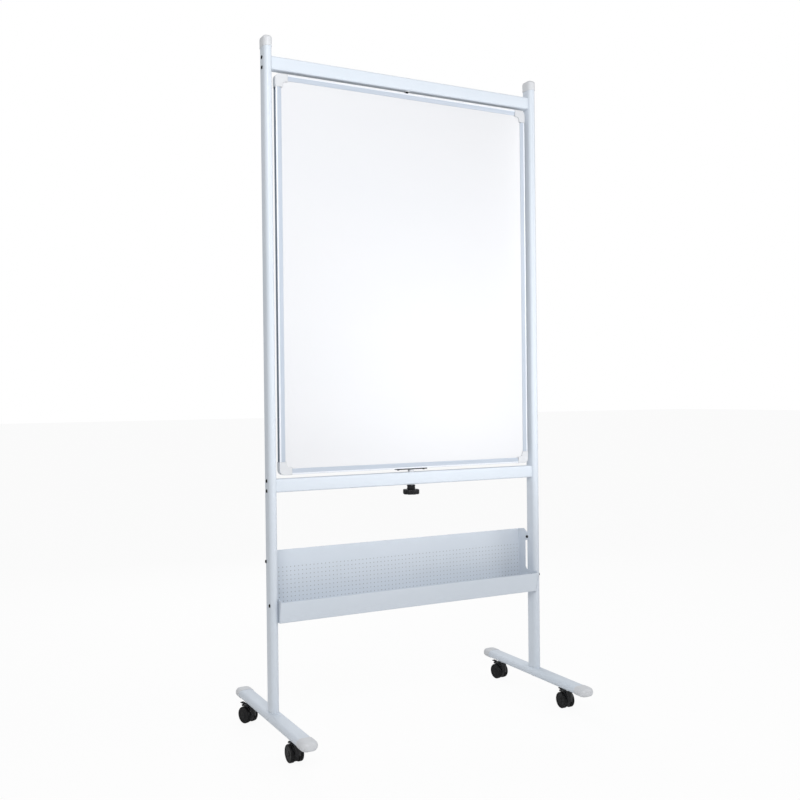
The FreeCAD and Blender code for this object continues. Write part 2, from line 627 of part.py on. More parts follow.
def wheel(side):
    """One wheel, turned from its half section: (distance from the axle, distance along it)."""
    r, w, e = WHEEL_R, WHEEL_WIDTH, WHEEL_EDGE_ROUND
    bore = AXLE_R + RUNNING_GAP
    bore_depth = w - 2.5
    start, quarter = V(0, 0, 0), e * (1 - math.sqrt(0.5))
    outline = [
        V(bore, 0, 0), V(r - e, 0, 0), V(r - quarter, quarter, 0), V(r, e, 0), V(r, w - e, 0),
        V(r - quarter, w - quarter, 0), V(r - e, w, 0), V(r - e - 2, w, 0),
        V(r - e - 4, w - WHEEL_DISH, 0), V(WHEEL_HUB_R + 1.5, w - WHEEL_DISH, 0),
        V(WHEEL_HUB_R, w, 0), V(0, w, 0), V(0, bore_depth, 0), V(bore, bore_depth, 0),
    ]
    edges = [
        Part.LineSegment(outline[0], outline[1]), Part.Arc(*outline[1:4]),
        Part.LineSegment(outline[3], outline[4]), Part.Arc(*outline[4:7]),
    ]
    rest = outline[6:] + outline[:1]
    edges += [Part.LineSegment(a, b) for a, b in zip(rest, rest[1:])]
    section = Part.Face(Part.Wire([edge.toShape() for edge in edges]))
    body = section.revolve(start, Y_DIR, 360)
    body.rotate(start, Z_DIR, -90)
    body.translate(V(WHEEL_INNER, TRAIL, WHEEL_R))
    return body if side > 0 else mirrored_x(body)


def axle():
    half = WHEEL_INNER + WHEEL_WIDTH - 3
    return across(AXLE_R, -half, half)


def brake_lever():
    pivot_y, pivot_z = LEVER_PIVOT
    knuckle = across(KNUCKLE_R, -KNUCKLE_HALF, KNUCKLE_HALF, pivot_y, pivot_z)
    trunnion_half = KNUCKLE_HALF + EAR_GAP + EAR_WIDTH - 0.5
    trunnions = across(TRUNNION_R, -trunnion_half, trunnion_half, pivot_y, pivot_z)
    pedal, _ = sheet_section(LEVER_POINTS[::-1], LEVER_THICKNESS, -LEVER_HALF, LEVER_HALF)
    # The cam points at the axle once the lever is pressed down by BRAKE_TRAVEL.
    to_axle = math.atan2(WHEEL_R - pivot_z, TRAIL - pivot_y) + math.radians(BRAKE_TRAVEL)
    along = V(0, math.cos(to_axle), math.sin(to_axle))
    beside = V(0, -along.z, along.y)
    root = V(-KNUCKLE_HALF, pivot_y, pivot_z)
    cam_corners = [root + beside * 1.8, root + along * CAM_LENGTH + beside * 1.0,
                   root + along * CAM_LENGTH - beside * 1.0, root - beside * 1.8]
    cam = polygon(cam_corners).extrude(X_DIR * 2 * KNUCKLE_HALF)
    return knuckle.fuse([trunnions, pedal, cam]).removeSplitter()


def caster_stem():
    flange_bottom = BOSS_TOP + 1.0
    stem = rod(SWIVEL_PIN_R, BOSS_TOP + 1.5 - SWIVEL_PIN_FOOT, V(0, 0, SWIVEL_PIN_FOOT))
    stem = stem.fuse(rod(STEM_FLANGE_R, FOOT_BOTTOM - flange_bottom, V(0, 0, flange_bottom)))
    return stem.fuse(rod(M8_R, TUBE_WALL + SOCKET_HEIGHT - 2, V(0, 0, FOOT_BOTTOM)))


def caster_socket():
    return ring(SOCKET_R, M8_R, SOCKET_HEIGHT, V(0, 0, FOOT_BOTTOM + TUBE_WALL))


def placed(shape, x, y, turn):
    copy = shape.copy()
    copy.rotate(V(0, 0, 0), Z_DIR, turn)
    copy.translate(V(x, y, 0))
    return copy


# ---------------------------------------------------------------- write the nodes

def main():
    os.makedirs("parts", exist_ok=True)

    for name, side in SIDES:
        save(name + "_upright", upright(side))
        save(name + "_foot", foot(side))
    save("upright_caps", upright_cap(-1), upright_cap(1))
    save("foot_caps", *foot_caps())
    save("upright_base_plugs", upright_base_plug(-1), upright_base_plug(1))
    save("foot_bolts", foot_bolt(-1), foot_bolt(1))

    for name, z, hole_z in (("top_rail", TOP_RAIL_Z, TOP_RAIL_BOTTOM - 1),
                            ("lower_rail", LOWER_RAIL_Z, LOWER_RAIL_BOTTOM - 1)):
        depth = RAIL_HEIGHT / 2 if name == "top_rail" else RAIL_HEIGHT + 2
        save(name, rail(z).cut(rod(BUSH_R, depth, V(0, 0, hole_z))))
    save("rail_end_plugs", *[rail_end_plug(side, z) for side in (-1, 1)
                             for z in (TOP_RAIL_Z, LOWER_RAIL_Z)])
    save("rail_screws", *rail_screws())

    bracket = tray_bracket()
    screws, nuts = tray_fasteners()
    save("tray_panel", tray_panel())
    save("right_tray_bracket", bracket)
    save("left_tray_bracket", mirrored_x(bracket))
    save("tray_screws", *screws)
    save("tray_nuts", *nuts)

    save("board_core", panel_layer(-CORE_HALF, CORE_HALF))
    save("front_sheet", writing_sheet(-1))
    save("rear_sheet", writing_sheet(1))
    for name, side in SIDES:
        save("frame_" + name, side_member(side))
    save("frame_top", level_member(True))
    save("frame_bottom", level_member(False))
    save("frame_corners", *frame_corners())

    save("pivot_bushes", *pivot_bushes())
    save("top_pivot_pin", top_pivot_pin())
    save("clamp_plate", clamp_plate())
    save("plate_screws", *[
        screw(M4_HEAD_R, M4_HEAD_HEIGHT, M4_R, 8.5, V(x, 0, PLATE_BOTTOM), Z_DIR)
        for x in (-PLATE_SCREW_X, PLATE_SCREW_X)])
    spacer_bottom = LOWER_RAIL_TOP + BUSH_FLANGE + FACE_GAP
    save("spacer_washer", ring(SPACER_R, STUD_R, PLATE_BOTTOM - spacer_bottom,
                               V(0, 0, spacer_bottom)))
    save("pivot_stud", rod(STUD_R, BOARD_BOTTOM - STUD_BOTTOM, V(0, 0, STUD_BOTTOM)))
    save("clamp_sleeve", clamp_sleeve())
    save("clamp_knob", clamp_knob())
    save("knob_insert", knob_insert())

    stems, sockets = [], []
    for name, x, y, turn in CASTERS:
        save(name + "_hood", placed(hood(), x, y, turn))
        save(name + "_axle", placed(axle(), x, y, turn))
        save(name + "_wheel_a", placed(wheel(-1), x, y, turn))
        save(name + "_wheel_b", placed(wheel(1), x, y, turn))
        save(name + "_brake_lever", placed(brake_lever(), x, y, turn))
        stems.append(placed(caster_stem(), x, y, turn))
        sockets.append(placed(caster_socket(), x, y, turn))
    save("caster_stems", *stems)
    save("caster_sockets", *sockets)


main()
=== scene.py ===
import json
import math

import bmesh
import bpy
from mathutils import Matrix, Vector


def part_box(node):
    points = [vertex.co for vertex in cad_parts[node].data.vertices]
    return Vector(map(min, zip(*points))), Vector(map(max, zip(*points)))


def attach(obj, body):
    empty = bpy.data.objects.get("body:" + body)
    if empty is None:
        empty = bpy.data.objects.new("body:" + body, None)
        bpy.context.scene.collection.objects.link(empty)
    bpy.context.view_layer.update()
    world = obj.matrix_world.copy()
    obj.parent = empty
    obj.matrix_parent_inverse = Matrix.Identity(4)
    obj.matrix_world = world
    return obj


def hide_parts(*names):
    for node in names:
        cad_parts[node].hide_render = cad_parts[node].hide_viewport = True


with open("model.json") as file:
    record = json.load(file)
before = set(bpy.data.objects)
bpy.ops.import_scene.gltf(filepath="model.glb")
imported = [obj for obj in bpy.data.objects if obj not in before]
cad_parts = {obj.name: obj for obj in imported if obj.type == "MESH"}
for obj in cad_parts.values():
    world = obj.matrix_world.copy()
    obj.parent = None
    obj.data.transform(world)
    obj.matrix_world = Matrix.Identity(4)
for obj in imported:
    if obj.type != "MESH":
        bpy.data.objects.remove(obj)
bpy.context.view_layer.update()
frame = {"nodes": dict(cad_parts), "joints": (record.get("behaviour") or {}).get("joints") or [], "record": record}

# Rolling whiteboard. Metres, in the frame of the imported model: +Z up, the board's front faces -Y.

MM = 0.001
SIDES = ("left", "right")
CASTERS = ("left_front", "left_rear", "right_front", "right_rear")


# ---------------------------------------------------------------- places, read from the frame

def node_box(name):
    low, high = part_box(name)
    return Vector(low), Vector(high)


def box_middle(name):
    low, high = node_box(name)
    return (low + high) / 2


def joint(name):
    return next(j for j in frame["joints"] if j["name"] == name)


# ---------------------------------------------------------------- node materials

class Tree:
    """Short way to write a node tree: add() makes a node and fills or links its inputs."""

    def __init__(self, name):
        self.material = bpy.data.materials.new(name)
        self.material.use_nodes = True
        self.tree = self.material.node_tree
        self.shader = self.tree.nodes["Principled BSDF"]

    def add(self, kind, inputs=None, **settings):
        node = self.tree.nodes.new(kind)
        for key, value in settings.items():
            setattr(node, key, value)
        for key, value in (inputs or {}).items():
            self.put(node.inputs[key], value)
        return node

    def put(self, socket, value):
        if isinstance(value, bpy.types.NodeSocket):
            self.tree.links.new(value, socket)
        else:
            socket.default_value = value

    def noise(self, scale, stretch=(1, 1, 1), detail=3.0, rough=0.55):
        place = self.add("ShaderNodeTexCoord").outputs["Object"]
        mapped = self.add("ShaderNodeMapping", {"Vector": place, "Scale": stretch})
        return self.add("ShaderNodeTexNoise", {
            "Vector": mapped.outputs[0], "Scale": scale, "Detail": detail, "Roughness": rough,
        }).outputs["Fac"]

    def ramp(self, value, low, high, to_low, to_high):
        return self.add("ShaderNodeMapRange", {
            "Value": value, "From Min": low, "From Max": high, "To Min": to_low, "To Max": to_high,
        }).outputs["Result"]

    def mix(self, factor, a, b):
        node = self.add("ShaderNodeMix", data_type="RGBA")
        self.put(node.inputs["Factor"], factor)
        self.put(node.inputs["A"], a)
        self.put(node.inputs["B"], b)
        return node.outputs["Result"]

    def edges(self, radius, low=0.02, high=0.35):
        """0 on flat stretches, 1 on edges sharper than the radius."""
        round_normal = self.add("ShaderNodeBevel", {"Radius": radius}, samples=6).outputs[0]
        normal = self.add("ShaderNodeNewGeometry").outputs["Normal"]
        dot = self.add("ShaderNodeVectorMath", operation="DOT_PRODUCT")
        self.put(dot.inputs[0], round_normal)
        self.put(dot.inputs[1], normal)
        return self.ramp(dot.outputs["Value"], 1 - low, 1 - high, 0.0, 1.0)


def rgba(color):
    return (color[0], color[1], color[2], 1.0)


def surface(name, color, tint, patches, rough, grain, edge=None, edge_radius=0.8 * MM,
            stretch=(1, 1, 1), **constants):
    """A finish: colour that drifts towards a tint in patches of a size, roughness that varies
    with them, a fine grain (scale, height) and, on edges, a worn colour."""
    t = Tree(name)
    drift = t.noise(patches, stretch)
    fine = t.noise(grain[0], stretch, detail=2.0)
    base = t.mix(t.ramp(drift, 0.35, 0.7, 0.0, 1.0), rgba(color), rgba(tint))
    if edge:
        wear = t.add("ShaderNodeMath", {1: t.ramp(t.noise(90.0), 0.4, 0.65, 0.15, 0.8)},
                     operation="MULTIPLY")
        t.put(wear.inputs[0], t.edges(edge_radius))
        base = t.mix(wear.outputs[0], base, rgba(edge))
    bump = t.add("ShaderNodeBump", {"Height": fine, "Distance": grain[1], "Strength": 1.0})
    t.put(t.shader.inputs["Base Color"], base)
    t.put(t.shader.inputs["Roughness"], t.ramp(drift, 0.3, 0.75, rough[0], rough[1]))
    t.put(t.shader.inputs["Normal"], bump.outputs["Normal"])
    for key, value in constants.items():
        t.shader.inputs[key.replace("_", " ")].default_value = value
    return t.material


ALONG_X, ALONG_Z = (0.02, 1, 1), (1, 1, 0.02)
ALUMINIUM = ((0.54, 0.59, 0.67), (0.49, 0.55, 0.63))

MATERIALS = {
    "powder_coat": surface(
        "powder_coat", (0.62, 0.67, 0.735), (0.595, 0.65, 0.715), 3.0, (0.34, 0.42),
        (1100.0, 0.05 * MM), edge=(0.76, 0.80, 0.84), edge_radius=1.0 * MM),
    "hole_shade": surface(
        "hole_shade", (0.40, 0.42, 0.45), (0.35, 0.37, 0.40), 40.0, (0.6, 0.8),
        (900.0, 0.05 * MM)),
    "board_steel": surface(
        "board_steel", (0.685, 0.69, 0.71), (0.665, 0.675, 0.70), 1.6, (0.13, 0.24),
        (260.0, 0.012 * MM), stretch=(0.35, 1, 1.3), Coat_Weight=0.4, Coat_Roughness=0.08),
    "frame_aluminium": surface(
        "frame_aluminium", *ALUMINIUM, 260.0, (0.5, 0.62), (1400.0, 0.02 * MM),
        stretch=ALONG_Z, Metallic=0.5),
    "frame_aluminium_level": surface(
        "frame_aluminium_level", *ALUMINIUM, 260.0, (0.5, 0.62), (1400.0, 0.02 * MM),
        stretch=ALONG_X, Metallic=0.5),
    # Painted shade: a dark colour for the groove's faces, standing in for the shade deep in the channel.
    "frame_groove_painted_shade": surface(
        "frame_groove_painted_shade", (0.20, 0.235, 0.28), (0.15, 0.18, 0.22), 90.0, (0.5, 0.7),
        (900.0, 0.04 * MM), stretch=ALONG_Z),
    # Painted highlight: a lighter copy of the frame aluminium for the flat rim, where light catches it.
    "frame_rim_painted_highlight": surface(
        "frame_rim_painted_highlight", (0.78, 0.81, 0.86), (0.74, 0.77, 0.83), 260.0, (0.42, 0.55),
        (1400.0, 0.02 * MM), stretch=ALONG_Z, Metallic=0.3),
    "white_plastic": surface(
        "white_plastic", (0.61, 0.625, 0.65), (0.585, 0.60, 0.625), 12.0, (0.38, 0.5),
        (1500.0, 0.03 * MM), edge=(0.74, 0.74, 0.75)),
    "black_plastic": surface(
        "black_plastic", (0.006, 0.006, 0.007), (0.010, 0.010, 0.011), 60.0, (0.30, 0.42),
        (1600.0, 0.05 * MM), edge=(0.04, 0.04, 0.045), edge_radius=0.6 * MM,
        Specular_IOR_Level=0.32),
    "wheel_black": surface(
        "wheel_black", (0.005, 0.005, 0.006), (0.012, 0.012, 0.012), 45.0, (0.32, 0.5),
        (900.0, 0.08 * MM), edge=(0.04, 0.038, 0.036), edge_radius=0.6 * MM,
        Specular_IOR_Level=0.14),
    "black_steel": surface(
        "black_steel", (0.006, 0.006, 0.007), (0.012, 0.012, 0.012), 120.0, (0.28, 0.42),
        (1800.0, 0.02 * MM), edge=(0.05, 0.05, 0.05), edge_radius=0.4 * MM,
        Specular_IOR_Level=0.2),
    "zinc_steel": surface(
        "zinc_steel", (0.62, 0.63, 0.65), (0.50, 0.51, 0.54), 160.0, (0.25, 0.45),
        (900.0, 0.03 * MM), Metallic=1.0),
    "brass": surface(
        "brass", (0.66, 0.47, 0.20), (0.56, 0.38, 0.15), 140.0, (0.22, 0.4),
        (1200.0, 0.02 * MM), Metallic=1.0),
    "core_board": surface(
        "core_board", (0.55, 0.43, 0.30), (0.44, 0.33, 0.22), 220.0, (0.7, 0.85),
        (700.0, 0.2 * MM)),
}


# ---------------------------------------------------------------- mesh building

def piece(name, bm, body, material, replaces=(), sharp=32):
    """Turn a bmesh into a finished piece that rides on a body."""
    bmesh.ops.recalc_face_normals(bm, faces=bm.faces)
    mesh = bpy.data.meshes.new(name)
    bm.to_mesh(mesh)
    bm.free()
    mesh.shade_smooth()
    mesh.set_sharp_from_angle(angle=math.radians(sharp))
    obj = bpy.data.objects.new(name, mesh)
    bpy.context.collection.objects.link(obj)
    mesh.materials.append(MATERIALS[material])
    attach(obj, body)
    if replaces:
        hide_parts(*replaces)
    return obj


def loft(bm, rings, cap_start=True, cap_end=True, loop=False):
    """Skin a run of rings, each with the same number of points."""
    verts = [[bm.verts.new(p) for p in ring] for ring in rings]
    pairs = list(zip(verts, verts[1:])) + ([(verts[-1], verts[0])] if loop else [])
    for a, b in pairs:
        for i in range(len(a)):
            j = (i + 1) % len(a)
            bm.faces.new((a[i], a[j], b[j], b[i]))
    if not loop and cap_start:
        bm.faces.new(verts[0][::-1])
    if not loop and cap_end:
        bm.faces.new(verts[-1])


def oval(long_side, short_side, steps=14):
    """Flat-oval outline, long side along the second coordinate."""
    r = short_side / 2
    h = long_side / 2 - r
    points = []
    for centre, start in ((h, 0.0), (-h, math.pi)):
        for k in range(steps + 1):
            a = start + math.pi * k / steps
            points.append((r * math.cos(a), centre + r * math.sin(a)))
    return points


def round_rectangle(width, height, r, steps=8):
    points = []
    corners = ((1, 1, 0), (-1, 1, 90), (-1, -1, 180), (1, -1, 270))
    for sx, sy, start in corners:
        for k in range(steps + 1):
            a = math.radians(start + 90 * k / steps)
            points.append((sx * (width / 2 - r) + r * math.cos(a),
                           sy * (height / 2 - r) + r * math.sin(a)))
    return points


def circle(radius, steps=48):
    return [(radius * math.cos(2 * math.pi * k / steps), radius * math.sin(2 * math.pi * k / steps))
            for k in range(steps)]


def six_sided(flats, steps=48):
    """Hexagon with the same number of points as a circle."""
    points = []
    for k in range(steps):
        a = 2 * math.pi * k / steps
        off = (a + math.pi / 6) % (math.pi / 3) - math.pi / 6
        r = flats / 2 / math.cos(off)
        points.append((r * math.cos(a), r * math.sin(a)))
    return points


def lift(outline, z):
    return [Vector((x, y, z)) for x, y in outline]


def along(axis, origin):
    """Matrix that carries local +Z to the axis, with local +Y kept as near +Z as it can be."""
    z = Vector(axis).normalized()
    helper = Vector((0, 0, 1)) if abs(z.z) < 0.9 else Vector((0, 1, 0))
    x = helper.cross(z).normalized()
    y = z.cross(x)
    return Matrix.Translation(Vector(origin)) @ Matrix((x, y, z)).transposed().to_4x4()


def move(bm, matrix, start=0):
    bm.verts.ensure_lookup_table()
    bmesh.ops.transform(bm, matrix=matrix, verts=bm.verts[start:])


def quarter(radius, steps=8):
    """(inset, rise) along a quarter round."""
    return [(radius * (1 - math.cos(math.pi / 2 * k / steps)),
             radius * math.sin(math.pi / 2 * k / steps)) for k in range(steps + 1)]


def softened(node, body, width, segments=2, paint=None):
    """The CAD node's shape with its sharp edges rounded. paint(middle) names a face's material."""
    bm = bmesh.new()
    bm.from_mesh(frame["nodes"][node].data)
    bmesh.ops.remove_doubles(bm, verts=bm.verts, dist=0.002 * MM)
    bmesh.ops.dissolve_limit(bm, angle_limit=math.radians(0.5), verts=bm.verts, edges=bm.edges)
    names = [SLOT_OF[node]]
    for face in bm.faces if paint else ():
        name = paint(face.calc_center_median())
        if name not in names:
            names.append(name)
        face.material_index = names.index(name)
    obj = piece(node + ".soft", bm, body, names[0], [node])
    for name in names[1:]:
        obj.data.materials.append(MATERIALS[name])
    bevel = obj.modifiers.new("rounded_edges", "BEVEL")
    bevel.width = width
    bevel.segments = segments
    bevel.limit_method = "ANGLE"
    bevel.angle_limit = math.radians(38)
    bevel.use_clamp_overlap = True
    bevel.harden_normals = True
    return obj


SLOT_OF = {s["node"]: s["material_slot"] for s in frame["record"]["subparts"]}


# ---------------------------------------------------------------- stand

TUBE_WALL = 1.5 * MM
RAIL_ROUND = 5.0 * MM
CAP_RIM = 0.7 * MM             # small slope round a cap's open end
CAP_DOME = 8.5 * MM
CAP_ARCH = 5.8 * MM            # how far the dome drops towards the front and the back
FOOT_CAP_LENGTH = 46.0 * MM
FOOT_NOSE = 21.0 * MM          # the part of a foot cap past the tube's end
SCREW_R = 2.5 * MM
SCREW_HEAD_R = 5.5 * MM
SCREW_HEAD_H = 2.6 * MM
SCREW_HEAD_EDGE = 0.3 * MM     # upright edge under the head's crown
SCREW_SOCKET = 3.0 * MM        # across the flats of the hexagon
SCREW_SOCKET_DEPTH = 1.5 * MM
RAIL_SCREW_PITCH = 30.0 * MM
RAIL_SCREW_SHANK = 43.0 * MM
TRAY_SCREW_SHANK = 31.5 * MM


def oval_tube(node, upright):
    """Flat-oval tube in the box of its CAD node, standing or lying along Y."""
    low, high = node_box(node)
    size, middle = high - low, (low + high) / 2
    bm = bmesh.new()
    if upright:
        long_side, short_side, length = size.y, size.x, size.z
    else:
        long_side, short_side, length = size.x, size.z, size.y
    outer = oval(long_side, short_side)
    inner = oval(long_side - 2 * TUBE_WALL, short_side - 2 * TUBE_WALL)
    half = length / 2
    loft(bm, [lift(outer, -half), lift(outer, half), lift(inner, half), lift(inner, -half)],
         loop=True)
    if not upright:
        turn = Matrix.Rotation(math.radians(-90), 4, "X") @ Matrix.Rotation(math.radians(90), 4, "Z")
        move(bm, turn)
    move(bm, Matrix.Translation(middle))
    piece(node + ".tube", bm, "stand", "powder_coat", replaces=[node])


def rail(node):
    """Tube of rounded-rectangle section along X."""
    low, high = node_box(node)
    size, middle = high - low, (low + high) / 2
    outer = round_rectangle(size.y, size.z, RAIL_ROUND)
    inner = round_rectangle(size.y - 2 * TUBE_WALL, size.z - 2 * TUBE_WALL, RAIL_ROUND - TUBE_WALL)
    half = size.x / 2
    rings = [[Vector((x, y, z)) for y, z in ring]
             for x, ring in ((-half, outer), (half, outer), (half, inner), (-half, inner))]
    bm = bmesh.new()
    loft(bm, rings, loop=True)
    move(bm, Matrix.Translation(middle))
    piece(node + ".tube", bm, "stand", "powder_coat", replaces=[node])


def upright_caps():
    """Domed caps that sleeve the uprights' tops."""
    low, high = node_box("upright_caps")
    tube_low, tube_high = node_box("left_upright")
    tube = tube_high - tube_low
    long_side, short_side = high.y - low.y, tube.x + (high.y - low.y - tube.y)
    bm = bmesh.new()
    for name in SIDES:
        x = box_middle(name + "_upright").x
        start = len(bm.verts)
        bore = oval(tube.y, tube.x)
        rings = [lift(bore, tube_high.z), lift(bore, low.z)]
        rings.append(lift(oval(long_side - 2 * CAP_RIM, short_side - 2 * CAP_RIM), low.z))
        rings.append(lift(oval(long_side, short_side), low.z + CAP_RIM))
        for inset, rise in quarter(CAP_DOME, 10):
            outline = oval(long_side - 2 * inset, short_side - 2 * inset)
            rings.append(lift(outline, high.z - CAP_DOME + rise * 0.97))
        flat = 2 * CAP_DOME + 2 * MM
        top = oval(long_side - flat, short_side - flat)
        rings.append(lift(top, high.z))
        loft(bm, rings)
        bm.verts.ensure_lookup_table()
        shoulder = high.z - CAP_DOME - CAP_ARCH
        for v in bm.verts[start:]:
            share = max(0.0, (v.co.z - shoulder) / (high.z - shoulder))
            v.co.z -= CAP_ARCH * share * (2 * v.co.y / long_side) ** 2
        move(bm, Matrix.Translation((x, 0, 0)), start)
    piece("upright_caps.domed", bm, "stand", "white_plastic", replaces=["upright_caps"])


def foot_caps():
    """Round-nosed caps that sleeve the feet's ends."""
    low, high = node_box("foot_caps")
    tube_low, tube_high = node_box("left_foot")
    tube = tube_high - tube_low
    proud = (high.z - low.z - tube.z) / 2
    wide, tall = tube.x + 2 * proud, tube.z + 2 * proud
    sleeve_start, tube_end = high.y - FOOT_CAP_LENGTH, tube_high.y
    nose_start = high.y - FOOT_NOSE
    bm = bmesh.new()
    for name in SIDES:
        centre = box_middle(name + "_foot")
        for end in (-1, 1):
            start = len(bm.verts)
            bore = oval(tube.x, tube.z)
            rings = [lift(bore, tube_end), lift(bore, sleeve_start)]
            rings.append(lift(oval(wide - 2 * CAP_RIM, tall - 2 * CAP_RIM), sleeve_start))
            rings.append(lift(oval(wide, tall), sleeve_start + CAP_RIM))
            for k in range(13):
                a = math.radians(88 * k / 12)
                w = wide * (0.22 + 0.78 * math.cos(a) ** 0.9)
                h = tall * (0.42 + 0.58 * math.cos(a) ** 0.8)
                rings.append(lift(oval(max(w, h * 1.02), h),
                                  nose_start + (high.y - nose_start) * math.sin(a)))
            loft(bm, rings)
            turn = Matrix.Rotation(math.radians(-90), 4, "X")
            turn = turn @ Matrix.Rotation(math.radians(90), 4, "Z")
            flip = Matrix.Scale(end, 4, (0, 1, 0))
            place = Matrix.Translation((centre.x, 0, centre.z))
            move(bm, place @ flip @ turn, start)
    piece("foot_caps.nosed", bm, "stand", "white_plastic", replaces=["foot_caps"])


def button_screw(bm, seat, axis, shank):
    """Button-head screw with a hexagon socket. The axis points out of the head."""
    start = len(bm.verts)
    rings = [lift(circle(SCREW_R * 0.7), -shank), lift(circle(SCREW_R), -shank + 0.8 * MM),
             lift(circle(SCREW_R), 0), lift(circle(SCREW_HEAD_R - 0.2 * MM), 0),
             lift(circle(SCREW_HEAD_R), SCREW_HEAD_EDGE)]
    crown = SCREW_HEAD_H - SCREW_HEAD_EDGE
    mouth = SCREW_SOCKET * 0.72
    for k in range(1, 8):
        a = math.radians(90 * k / 8)
        r = mouth + (SCREW_HEAD_R - mouth) * math.cos(a)
        rings.append(lift(circle(r), SCREW_HEAD_EDGE + crown * math.sin(a)))
    rings.append(lift(six_sided(SCREW_SOCKET), SCREW_HEAD_H * 0.985))
    rings.append(lift(six_sided(SCREW_SOCKET), SCREW_HEAD_H - SCREW_SOCKET_DEPTH))
    loft(bm, rings)
    move(bm, along(axis, seat), start)


def side_screws(node, places, shank):
    """Screws from both outer sides of the uprights, at (y, z) places."""
    outside = node_box(node)[1].x - SCREW_HEAD_H
    bm = bmesh.new()
    for side in (-1, 1):
        for y, z in places:
            button_screw(bm, (side * outside, y, z), (side, 0, 0), shank)
    piece(node + ".heads", bm, "stand", "black_steel", replaces=[node])


def stand_screws():
    places = []
    for node in ("top_rail", "lower_rail"):
        z = box_middle(node).z
        places += [(0, z - RAIL_SCREW_PITCH / 2), (0, z + RAIL_SCREW_PITCH / 2)]
    side_screws("rail_screws", places, RAIL_SCREW_SHANK)
    low, high = node_box("tray_screws")
    upper = (high.y - SCREW_HEAD_R, high.z - SCREW_HEAD_R)
    lower = (low.y + SCREW_HEAD_R, low.z + SCREW_HEAD_R)
    side_screws("tray_screws", [upper, lower], TRAY_SCREW_SHANK)


# ---------------------------------------------------------------- tray

HOLE_PITCH = 13.0 * MM
HOLE_R = 1.8 * MM
HOLE_COLUMNS = 71
HOLE_ROWS = 11
PLAIN_BAND = 48.0 * MM         # from the back's top edge down to the first row of cells
HOLE_SIDES = 16
SHEET = 1.2 * MM
SHEET_BEND = 3.0 * MM
LIP_HEIGHT = 63.0 * MM
LIP_LEAN = 11.0 * MM
BACK_LEAN = 7.5 * MM


def bend(before, corner, after, radius, steps=5):
    """Points of an arc that rounds a corner of a (y, z) line."""
    corner = Vector(corner)
    a = (Vector(before) - corner).normalized()
    b = (Vector(after) - corner).normalized()
    half = a.angle(b) / 2
    reach = radius / math.tan(half)
    centre = corner + (a + b).normalized() * radius / math.sin(half)
    start, end = corner + a * reach - centre, corner + b * reach - centre
    turn = start.angle_signed(end)
    return [centre + Matrix.Rotation(-turn * k / steps, 2) @ start for k in range(steps + 1)]


def tray_line(low, high):
    """Stations of the folded sheet from lip top to back top: (outer point, inner point)."""
    outer = [Vector((low.y, low.z + LIP_HEIGHT)), Vector((low.y + LIP_LEAN, low.z)),
             Vector((high.y - BACK_LEAN, low.z)), Vector((high.y, high.z))]
    directions = [(b - a).normalized() for a, b in zip(outer, outer[1:])]
    normals = [Vector((-d.y, d.x)) for d in directions]
    inner = [outer[0] + normals[0] * SHEET]
    for i in (1, 2):
        both = normals[i - 1] + normals[i]
        inner.append(outer[i] + both * (2 * SHEET / both.length_squared))
    inner.append(outer[3] + normals[2] * SHEET)
    stations = [(outer[0], inner[0])]
    for i in (1, 2):
        out_arc = bend(outer[i - 1], outer[i], outer[i + 1], SHEET_BEND)
        in_arc = bend(inner[i - 1], inner[i], inner[i + 1], SHEET_BEND - SHEET)
        stations += list(zip(out_arc, in_arc))
    top_out, top_in = outer[3], inner[3]
    back = directions[2]
    first_row = PLAIN_BAND / back.y
    cells = [first_row + HOLE_PITCH / 2 * k for k in range(2 * HOLE_ROWS, -1, -1)]
    first_cell = len(stations)
    stations += [(top_out - back * s, top_in - back * s) for s in cells]
    stations.append((top_out, top_in))
    return stations, first_cell


